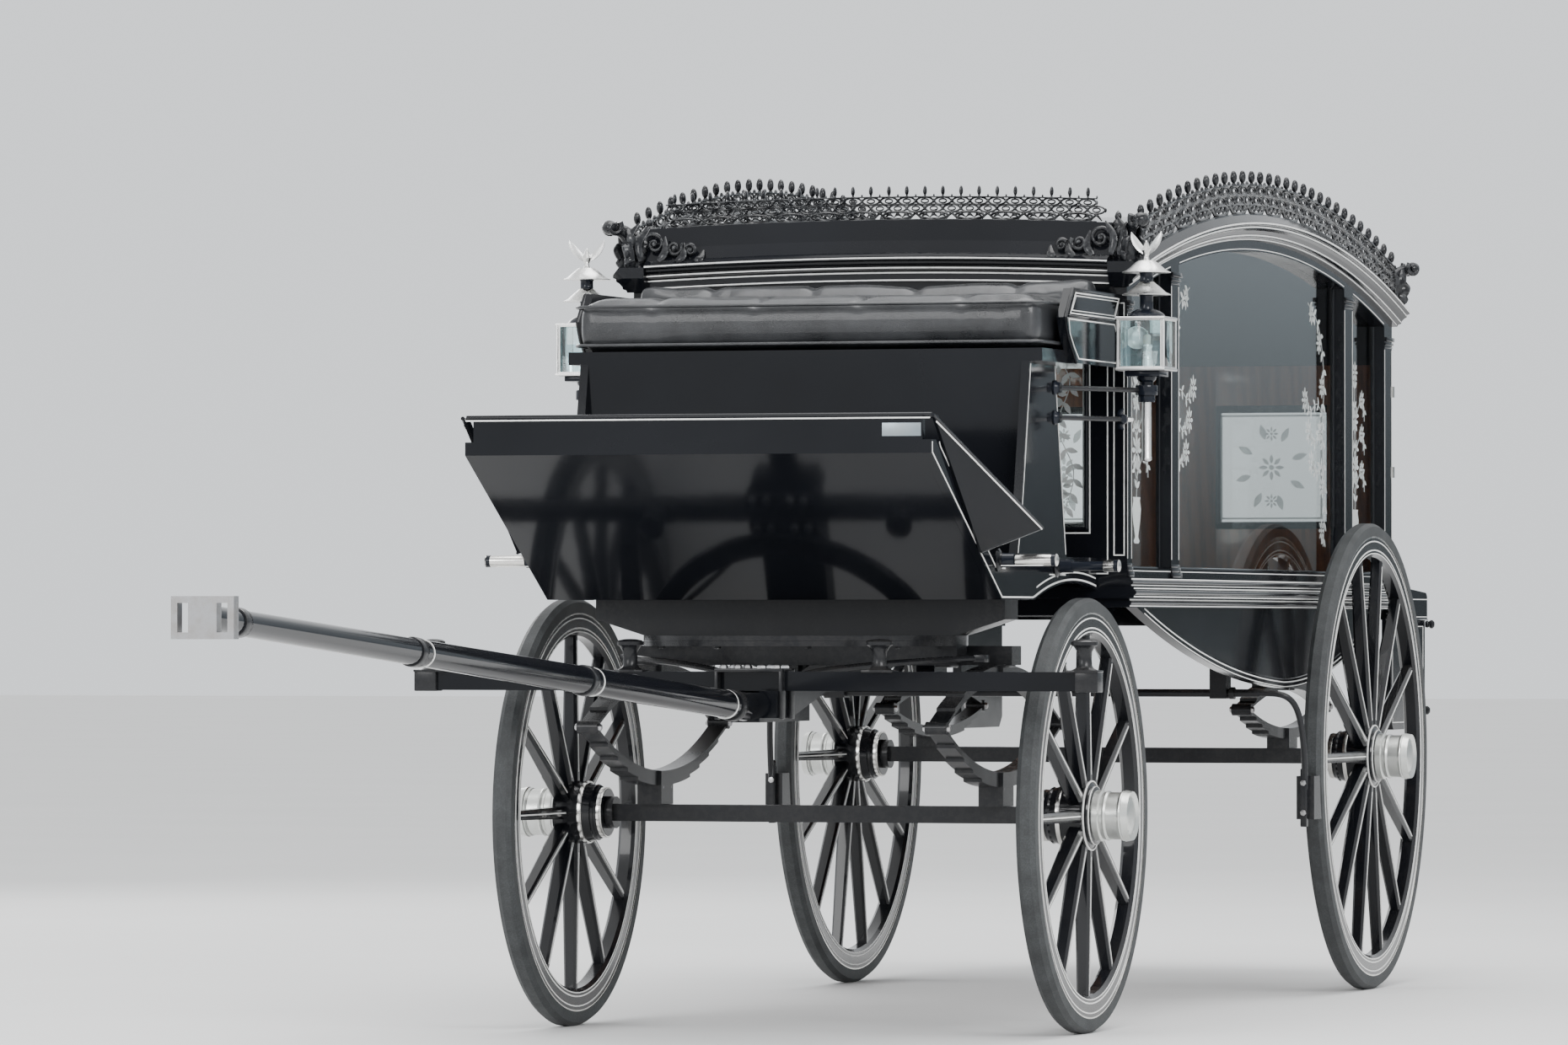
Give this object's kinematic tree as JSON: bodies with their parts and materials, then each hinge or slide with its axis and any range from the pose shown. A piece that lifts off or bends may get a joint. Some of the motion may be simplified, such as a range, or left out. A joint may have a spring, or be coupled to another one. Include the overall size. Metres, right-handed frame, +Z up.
{
  "type": "horse-drawn hearse",
  "caption": "Glass-sided horse-drawn hearse with arched cornice, carved gallery, driver's boot and lamps, steered fore-carriage with pole, and opening rear doors.",
  "frame": {"origin": "on the ground, in the middle of the overall length and width, pole included", "axes": "+Z up, -Y the way it is drawn, +X its left side"},
  "size_m": [1.657, 7.68, 2.0981],
  "materials": {
    "coach_black": "gloss black coach varnish over wood, lined in fine white",
    "iron_black": "black painted iron, part gloss",
    "tyre_rubber": "worn dark grey solid rubber",
    "silver_plate": "polished silver plate",
    "steel_bright": "bright steel, a little worn",
    "etched_glass": "clear plate glass with etched borders",
    "lamp_glass": "clear bevelled lamp glass",
    "brown_wood": "brown varnished boards",
    "seat_leather": "black glossy leather"
  },
  "bodies": {
    "carriage_body": {"belly_panel_left": "coach_black", "belly_panel_right": "coach_black", "boot_box": "coach_black", "boot_side_left": "coach_black", "boot_side_right": "coach_black", "brake_gear": "iron_black", "brake_shoes": "coach_black", "corner_finials": "coach_black", "cornice": "coach_black", "dash_wings": "coach_black", "deck": "brown_wood", "door_hinges": "silver_plate", "footboard": "coach_black", "front_frame": "coach_black", "gallery_cresting": "coach_black", "glass_front": "etched_glass", "glass_left": "etched_glass", "glass_right": "etched_glass", "lamp_arms": "iron_black", "lamp_glasses": "lamp_glass", "lamps": "silver_plate", "rear_axle": "iron_black", "rear_frame": "coach_black", "rear_springs": "iron_black", "roof": "coach_black", "seat_box": "coach_black", "seat_cushions": "seat_leather", "side_frame_left": "coach_black", "side_frame_right": "coach_black", "step_pegs": "silver_plate", "tail_box": "coach_black", "turntable_upper": "iron_black", "under_frame": "coach_black", "waist_moulding": "coach_black"},
    "fore_carriage": {"turntable_lower": "iron_black", "front_axle": "iron_black", "front_springs": "iron_black", "futchells": "coach_black", "splinter_bar": "coach_black", "pole": "coach_black", "pole_head": "steel_bright"},
    "front_wheel_left": {"wheel_front_left": "coach_black", "tyre_front_left": "tyre_rubber", "hub_cap_front_left": "silver_plate"},
    "front_wheel_right": {"wheel_front_right": "coach_black", "tyre_front_right": "tyre_rubber", "hub_cap_front_right": "silver_plate"},
    "rear_wheel_left": {"wheel_rear_left": "coach_black", "tyre_rear_left": "tyre_rubber", "hub_cap_rear_left": "silver_plate"},
    "rear_wheel_right": {"wheel_rear_right": "coach_black", "tyre_rear_right": "tyre_rubber", "hub_cap_rear_right": "silver_plate"},
    "door_leaf_left": {"rear_door_left": "coach_black", "door_glass_left": "etched_glass", "door_handle": "silver_plate"},
    "door_leaf_right": {"rear_door_right": "coach_black", "door_glass_right": "etched_glass"}
  },
  "joints": [
    {"name": "steering", "type": "hinge", "parent": "carriage_body", "child": "fore_carriage", "pos_m": [0, 0.04, 0.91], "axis": [0, 0, 1], "range_deg": [-40, 40]},
    {"name": "front_wheel_left_spin", "type": "hinge", "parent": "fore_carriage", "child": "front_wheel_left", "pos_m": [0.6315, 0.19, 0.508], "axis": [1, 0, 0], "continuous": true},
    {"name": "front_wheel_right_spin", "type": "hinge", "parent": "fore_carriage", "child": "front_wheel_right", "pos_m": [-0.6315, 0.19, 0.508], "axis": [1, 0, 0], "continuous": true},
    {"name": "rear_wheel_left_spin", "type": "hinge", "parent": "carriage_body", "child": "rear_wheel_left", "pos_m": [0.7085, 2.73, 0.61], "axis": [1, 0, 0], "continuous": true},
    {"name": "rear_wheel_right_spin", "type": "hinge", "parent": "carriage_body", "child": "rear_wheel_right", "pos_m": [-0.7085, 2.73, 0.61], "axis": [1, 0, 0], "continuous": true},
    {"name": "rear_door_left_hinge", "type": "hinge", "parent": "carriage_body", "child": "door_leaf_left", "pos_m": [0.579, 3.411, 1.38], "axis": [0, 0, -1], "range_deg": [0, 105]},
    {"name": "rear_door_right_hinge", "type": "hinge", "parent": "carriage_body", "child": "door_leaf_right", "pos_m": [-0.579, 3.411, 1.38], "axis": [0, 0, 1], "range_deg": [0, 105]}
  ]
}
